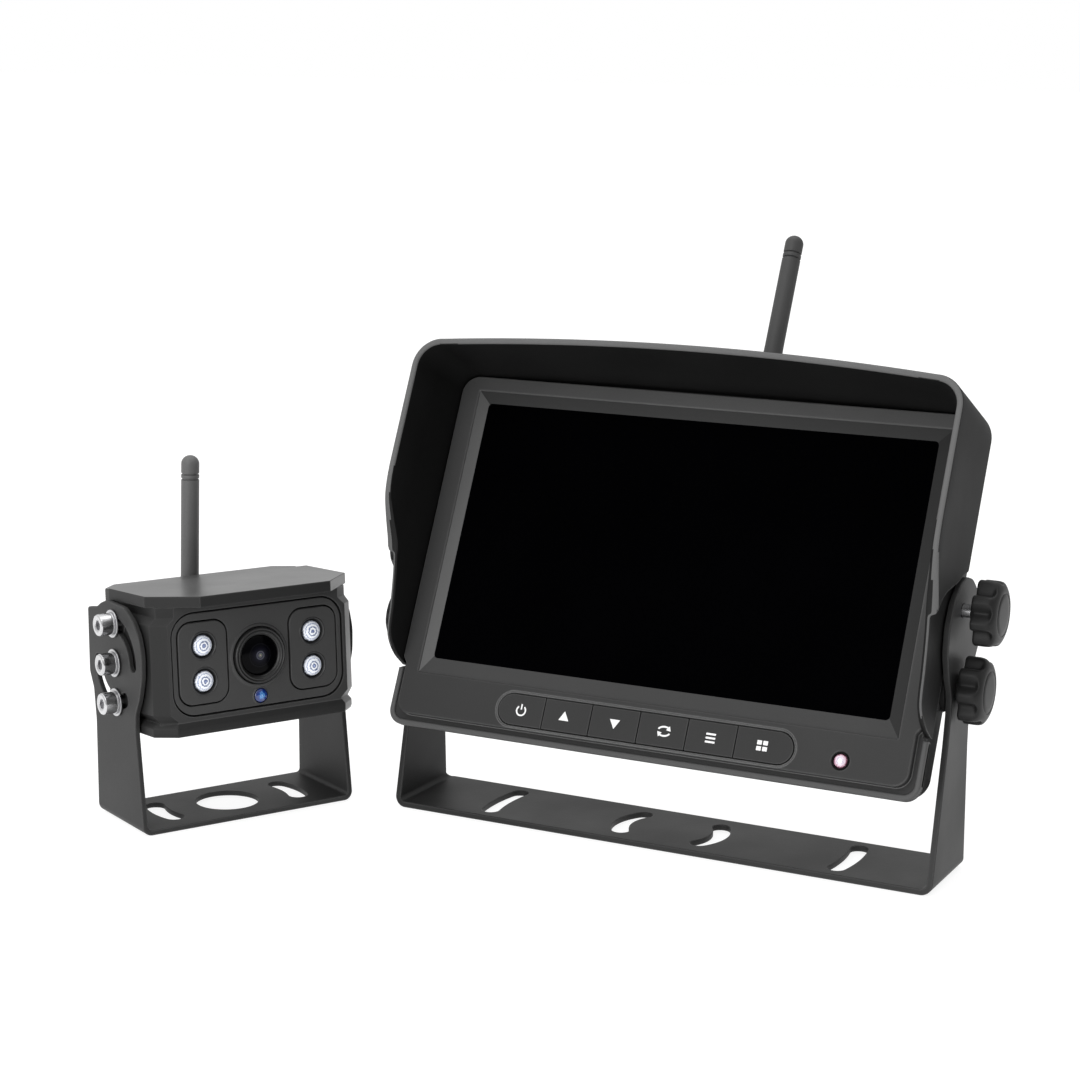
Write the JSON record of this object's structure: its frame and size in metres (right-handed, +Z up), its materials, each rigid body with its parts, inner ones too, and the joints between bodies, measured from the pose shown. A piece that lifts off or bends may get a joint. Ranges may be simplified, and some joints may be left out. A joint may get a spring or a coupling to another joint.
{
  "type": "vehicle rear-view camera kit",
  "caption": "Tilting display with sunshade, clamp knobs and folding aerial on a U bracket, plus a small camera with lamps and aerial on its own slotted U bracket.",
  "frame": {"origin": "centre of the underside of the display bracket base, on the mounting surface", "axes": "+X along the display width to the viewer's right, +Y from the screen towards its back, +Z up"},
  "size_m": [0.2838, 0.147, 0.1893],
  "materials": {
    "bracket_steel": "satin black powder coat",
    "bezel_plastic": "fine moulded texture",
    "rear_plastic": "fine moulded texture",
    "hood_plastic": "matte",
    "screen": "polished black",
    "lcd_metal": "pressed sheet",
    "circuit": "solder mask",
    "key_plastic": "matte",
    "ir_plastic": "clear tinted",
    "aerial_rubber": "satin",
    "knuckle_plastic": "matte",
    "knob_plastic": "semi-gloss",
    "stainless": "bright",
    "screw_steel": "zinc",
    "gasket_rubber": "matte",
    "inlet_plastic": "matte",
    "camera_body": "satin black",
    "camera_face": "satin",
    "lens_black": "anodised black",
    "lens_optic": "coated optic",
    "lamp_lens": "clear lens",
    "sensor_blue": "blue lens",
    "connector": "nickel"
  },
  "bodies": {
    "display_base": {"monitor_bracket": "bracket_steel", "lock_stud_right": "stainless", "lock_stud_left": "stainless"},
    "display": {"front_bezel": "bezel_plastic", "rear_cover": "rear_plastic", "sunshade_hood": "hood_plastic", "screen_glass": "screen", "lcd_module": "lcd_metal", "main_board": "circuit", "keypad_board": "circuit", "ir_window": "ir_plastic", "monitor_antenna_base": "knuckle_plastic", "rear_screw_1": "screw_steel", "rear_screw_2": "screw_steel", "rear_screw_3": "screw_steel", "rear_screw_4": "screw_steel", "power_inlet": "inlet_plastic", "tilt_stud_right": "stainless", "tilt_stud_left": "stainless", "friction_washer_right": "gasket_rubber", "friction_washer_left": "gasket_rubber"},
    "key_power": {"button_power": "key_plastic"},
    "key_up": {"button_up": "key_plastic"},
    "key_down": {"button_down": "key_plastic"},
    "key_source": {"button_source": "key_plastic"},
    "key_menu": {"button_menu": "key_plastic"},
    "key_view": {"button_view": "key_plastic"},
    "display_aerial": {"monitor_antenna_whip": "aerial_rubber"},
    "tilt_knob_right_body": {"tilt_knob_right": "knob_plastic"},
    "tilt_knob_left_body": {"tilt_knob_left": "knob_plastic"},
    "lock_knob_right_body": {"lock_knob_right": "knob_plastic"},
    "lock_knob_left_body": {"lock_knob_left": "knob_plastic"},
    "camera_base": {"camera_bracket": "bracket_steel"},
    "camera": {"camera_front_housing": "camera_body", "camera_rear_housing": "camera_body", "camera_front_panel": "camera_face", "lens_barrel": "lens_black", "lens_glass": "lens_optic", "lamp_1": "lamp_lens", "lamp_2": "lamp_lens", "lamp_3": "lamp_lens", "lamp_4": "lamp_lens", "light_sensor": "sensor_blue", "camera_board": "circuit", "camera_cable_gland": "inlet_plastic", "camera_antenna_base": "connector", "bolt_left_upper": "stainless", "bolt_left_middle": "stainless", "bolt_left_lower": "stainless", "bolt_right_upper": "stainless", "bolt_right_middle": "stainless", "bolt_right_lower": "stainless", "washer_left_upper": "stainless", "washer_left_middle": "stainless", "washer_left_lower": "stainless", "washer_right_upper": "stainless", "washer_right_middle": "stainless", "washer_right_lower": "stainless"},
    "camera_aerial": {"camera_antenna_whip": "aerial_rubber"}
  },
  "joints": [
    {"name": "display_tilt", "type": "hinge", "parent": "display_base", "child": "display", "pos_m": [0, 0.0002, 0.06039], "axis": [1, 0, 0], "range_deg": [-3.3, 30]},
    {"name": "press_power", "type": "slide", "parent": "display", "child": "key_power", "axis": [0, 0.9079, -0.4192], "range_m": [0, 0.0006], "stiffness_N_per_m": 400},
    {"name": "press_up", "type": "slide", "parent": "display", "child": "key_up", "axis": [0, 0.9079, -0.4192], "range_m": [0, 0.0006], "stiffness_N_per_m": 400},
    {"name": "press_down", "type": "slide", "parent": "display", "child": "key_down", "axis": [0, 0.9079, -0.4192], "range_m": [0, 0.0006], "stiffness_N_per_m": 400},
    {"name": "press_source", "type": "slide", "parent": "display", "child": "key_source", "axis": [0, 0.9079, -0.4192], "range_m": [0, 0.0006], "stiffness_N_per_m": 400},
    {"name": "press_menu", "type": "slide", "parent": "display", "child": "key_menu", "axis": [0, 0.9079, -0.4192], "range_m": [0, 0.0006], "stiffness_N_per_m": 400},
    {"name": "press_view", "type": "slide", "parent": "display", "child": "key_view", "axis": [0, 0.9079, -0.4192], "range_m": [0, 0.0006], "stiffness_N_per_m": 400},
    {"name": "display_aerial_fold", "type": "hinge", "parent": "display", "child": "display_aerial", "pos_m": [0.0128, 0.0367, 0.1391], "axis": [-1, 0, 0], "range_deg": [0, 90]},
    {"name": "tilt_knob_right_turn", "type": "hinge", "parent": "display", "child": "tilt_knob_right_body", "pos_m": [0.098, 0.0002, 0.06039], "axis": [1, 0, 0], "continuous": true},
    {"name": "tilt_knob_left_turn", "type": "hinge", "parent": "display", "child": "tilt_knob_left_body", "pos_m": [-0.098, 0.0002, 0.06039], "axis": [-1, 0, 0], "continuous": true},
    {"name": "lock_knob_right_turn", "type": "hinge", "parent": "display_base", "child": "lock_knob_right_body", "pos_m": [0.1, 0.00074, 0.08437], "axis": [1, 0, 0], "continuous": true},
    {"name": "lock_knob_left_turn", "type": "hinge", "parent": "display_base", "child": "lock_knob_left_body", "pos_m": [-0.1, 0.00074, 0.08437], "axis": [-1, 0, 0], "continuous": true},
    {"name": "camera_unit_apart", "type": "slide", "parent": "display_base", "child": "camera_base", "axis": [-1, 0, 0], "range_m": [0, 0.1]},
    {"name": "camera_tilt", "type": "hinge", "parent": "camera_base", "child": "camera", "pos_m": [-0.14325, -0.04282, 0.0529], "axis": [0.4675, 0.884, 0], "range_deg": [-22, 78]},
    {"name": "camera_aerial_swing", "type": "hinge", "parent": "camera", "child": "camera_aerial", "pos_m": [-0.16305, -0.03235, 0.05719], "axis": [-0.8814, 0.4662, -0.0769], "range_deg": [-40, 40]}
  ]
}
